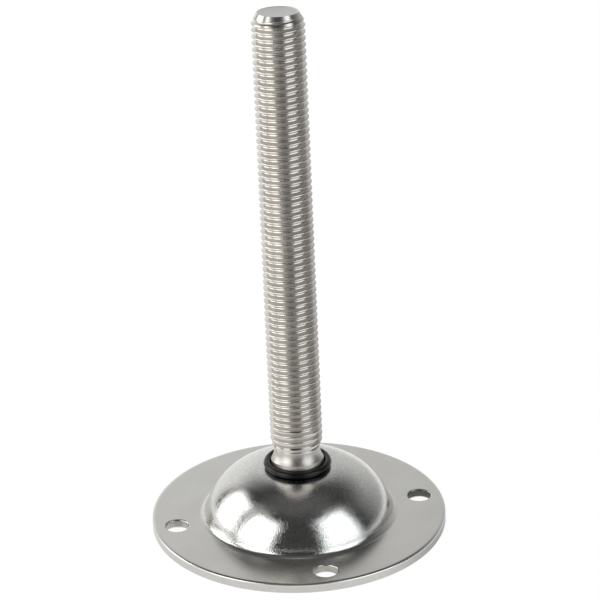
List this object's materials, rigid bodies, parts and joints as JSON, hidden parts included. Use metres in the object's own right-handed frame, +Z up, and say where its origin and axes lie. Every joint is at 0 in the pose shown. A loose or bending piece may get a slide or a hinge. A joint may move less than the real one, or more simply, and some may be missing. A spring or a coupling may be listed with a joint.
{
  "type": "swivel foot",
  "caption": "Swivel foot: round domed steel base plate with fixing holes, and a threaded stud standing in a ball joint that a rubber ring seals.",
  "frame": {"origin": "centre of the base plate's underside, on the floor", "axes": "+Z up along the base plate's axis; +X and +Y through fixing holes"},
  "size_m": [0.09, 0.09, 0.1615],
  "materials": {
    "plate_steel": "satin stainless flange, polished dome",
    "inner_steel": "plain pressed stainless",
    "ring_rubber": "moulded black rubber",
    "stud_steel": "bright turned stainless"
  },
  "bodies": {
    "base": {"base_plate": "plate_steel", "seat_cup": "inner_steel"},
    "ring": {"o_ring": "ring_rubber"},
    "washer": {"retaining_washer": "inner_steel"},
    "stud": {"threaded_stud": "stud_steel"}
  },
  "joints": [
    {"name": "turn", "type": "hinge", "parent": "base", "child": "ring", "pos_m": [0, 0, 0.02003], "axis": [0, 0, 1], "continuous": true},
    {"name": "tilt", "type": "hinge", "parent": "ring", "child": "washer", "pos_m": [0, 0, 0.02003], "axis": [-0.9982, 0.0593, 0], "range_deg": [-16.28, 3.72]},
    {"name": "spin", "type": "hinge", "parent": "washer", "child": "stud", "pos_m": [0, 0, 0.02003], "axis": [0.0065, 0.1092, 0.994], "continuous": true}
  ]
}
